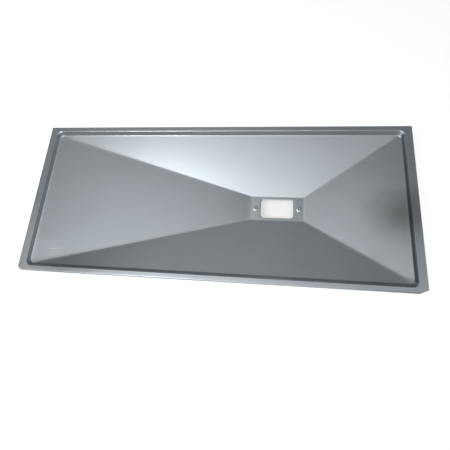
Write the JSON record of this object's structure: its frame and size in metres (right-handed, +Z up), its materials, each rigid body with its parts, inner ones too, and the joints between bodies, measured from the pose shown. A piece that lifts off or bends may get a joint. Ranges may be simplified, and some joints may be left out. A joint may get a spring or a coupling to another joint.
{
  "type": "oil drain pan",
  "caption": "Shallow rectangular sheet-metal drip pan: stepped rim, flat faces falling to an off-centre drain opening, and a riveted hanger below it for a drip cup.",
  "frame": {"origin": "under the middle of the pan's outline, level with the bottom of the cup bracket's rails", "axes": "+X along the pan's length towards the end that the drain is nearer, +Y to the pan's back, +Z up out of the open side"},
  "size_m": [0.65, 0.276, 0.0608],
  "materials": {
    "pan_sheet": "satin aluminised sheet steel with soft reflections and light handling marks",
    "bracket_sheet": "satin galvanised sheet steel",
    "rivet": "bright drawn aluminium",
    "mandrel": "plain steel wire with a torn end"
  },
  "bodies": {
    "root": {"pan": "pan_sheet", "cup_bracket": "bracket_sheet", "rivet_body_left": "rivet", "rivet_body_right": "rivet", "rivet_mandrel_left": "mandrel", "rivet_mandrel_right": "mandrel"}
  },
  "joints": []
}
